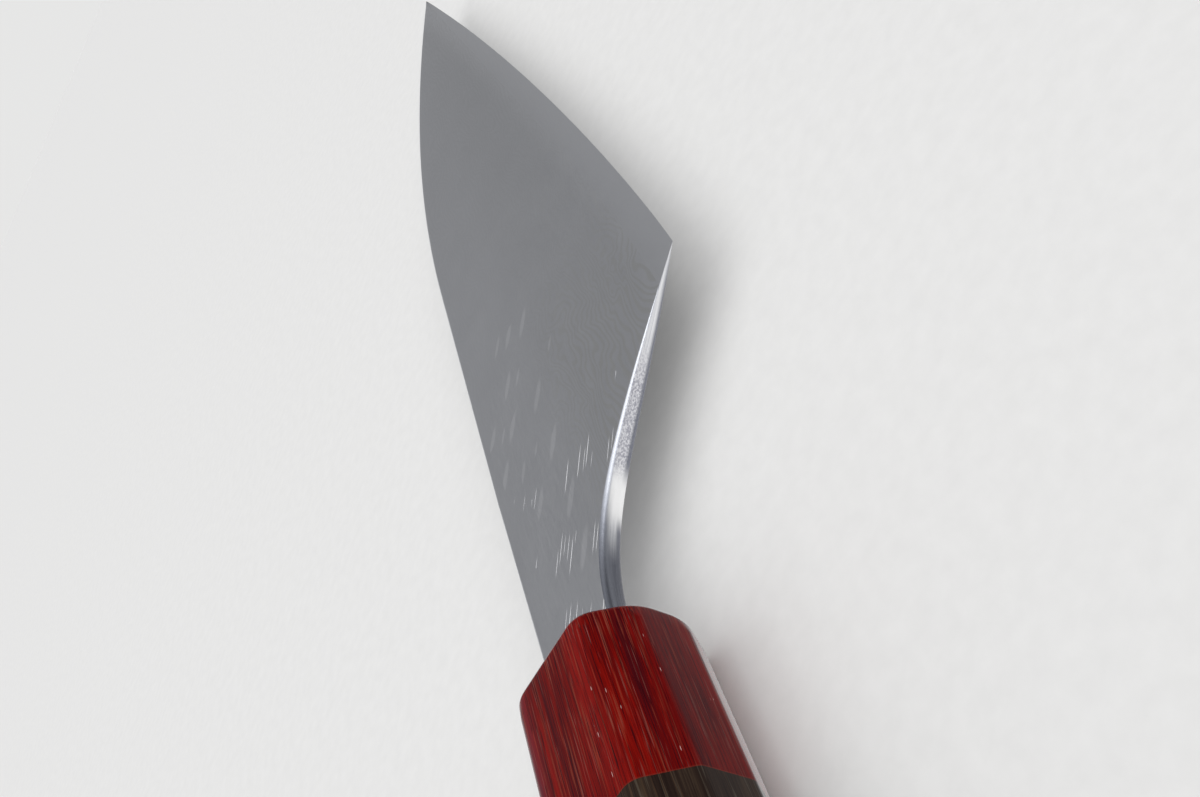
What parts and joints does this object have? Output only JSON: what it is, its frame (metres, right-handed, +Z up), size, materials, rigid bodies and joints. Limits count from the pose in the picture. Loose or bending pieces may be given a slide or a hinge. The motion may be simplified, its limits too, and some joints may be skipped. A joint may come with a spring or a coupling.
{
  "type": "gyuto knife",
  "caption": "Chef's knife lying on its side: layered steel blade with a long neck and slanted, polished heel, red wood ferrule and dark faceted wooden handle.",
  "frame": {"origin": "middle of the footprint, on the surface that the handle's left side facet lies on", "axes": "+X along the handle axis from the butt to the tip, +Y from the cutting edge to the spine, +Z up out of the right face of the blade"},
  "size_m": [0.3964, 0.049, 0.0184],
  "materials": {
    "core_steel": "hard core steel, ground and polished along the edge",
    "cladding_steel": "satin layered cladding with faint wavy layer lines and fine scratches",
    "ferrule_wood": "glossy red hardwood with lengthwise grain and small open pores",
    "grip_wood": "dark grey-brown hardwood with pale streaks, satin oil finish",
    "dowel_wood": "plain pale dowel, hidden inside the handle",
    "tang_resin": "cured amber resin, hidden inside the handle"
  },
  "bodies": {
    "root": {"blade_core": "core_steel", "right_cladding": "cladding_steel", "left_cladding": "cladding_steel", "ferrule": "ferrule_wood", "grip": "grip_wood", "handle_dowel": "dowel_wood", "tang_resin": "tang_resin"}
  },
  "joints": []
}
